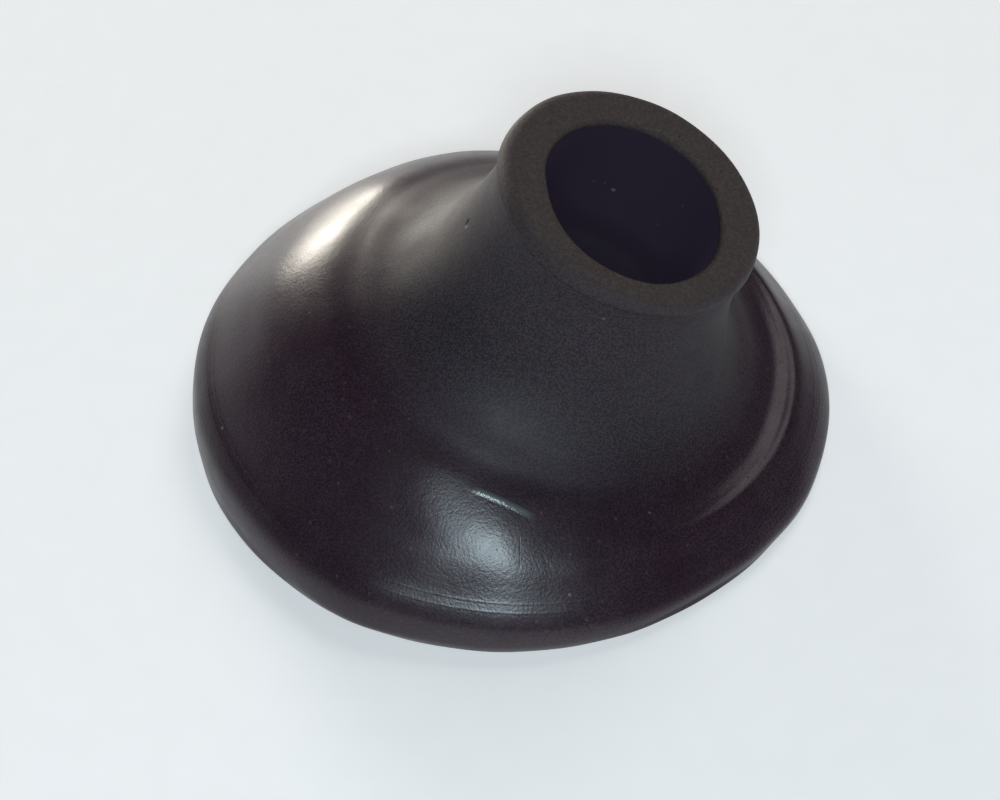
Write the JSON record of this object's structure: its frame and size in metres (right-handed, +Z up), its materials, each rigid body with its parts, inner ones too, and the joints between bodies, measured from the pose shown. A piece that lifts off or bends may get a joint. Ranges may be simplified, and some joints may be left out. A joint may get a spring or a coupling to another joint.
{
  "type": "dust blower bulb",
  "caption": "Squat flared black rubber squeeze bulb with a leaning thick-walled open neck, closed from below by a disc with a sprung inlet valve.",
  "frame": {"origin": "centre of the rim's foot, on the surface that the bulb stands on", "axes": "+Z up from the bench, +X the way the neck leans, +Y to the left of it"},
  "size_m": [0.0642, 0.0642, 0.0345],
  "materials": {
    "bulb_rubber": "satin moulded black rubber",
    "disc_plastic": "fine matt black",
    "brass": "turned",
    "seal_rubber": "matt",
    "poppet_plastic": "natural nylon",
    "spring_bronze": "drawn wire",
    "steel": "drawn wire"
  },
  "bodies": {
    "base": {"bulb_rim": "bulb_rubber", "bulb_dome": "bulb_rubber", "base_disc": "disc_plastic", "valve_body": "brass", "valve_gasket": "seal_rubber", "valve_nut": "brass", "valve_cage": "brass", "valve_spring": "spring_bronze", "intake_gauze": "steel", "gauze_ring": "steel"},
    "neck": {"bulb_neck": "bulb_rubber"},
    "poppet": {"valve_disc": "poppet_plastic"}
  },
  "joints": [
    {"name": "squeeze", "type": "slide", "parent": "base", "child": "neck", "axis": [0, 0, -1], "range_m": [0, 0.0045], "stiffness_N_per_m": 1500, "deforming": ["bulb_dome"]},
    {"name": "inlet_poppet_lift", "type": "slide", "parent": "base", "child": "poppet", "axis": [0, 0, 1], "range_m": [0, 0.0008], "stiffness_N_per_m": 5, "springref_m": -0.0005, "deforming": ["valve_spring"]}
  ]
}
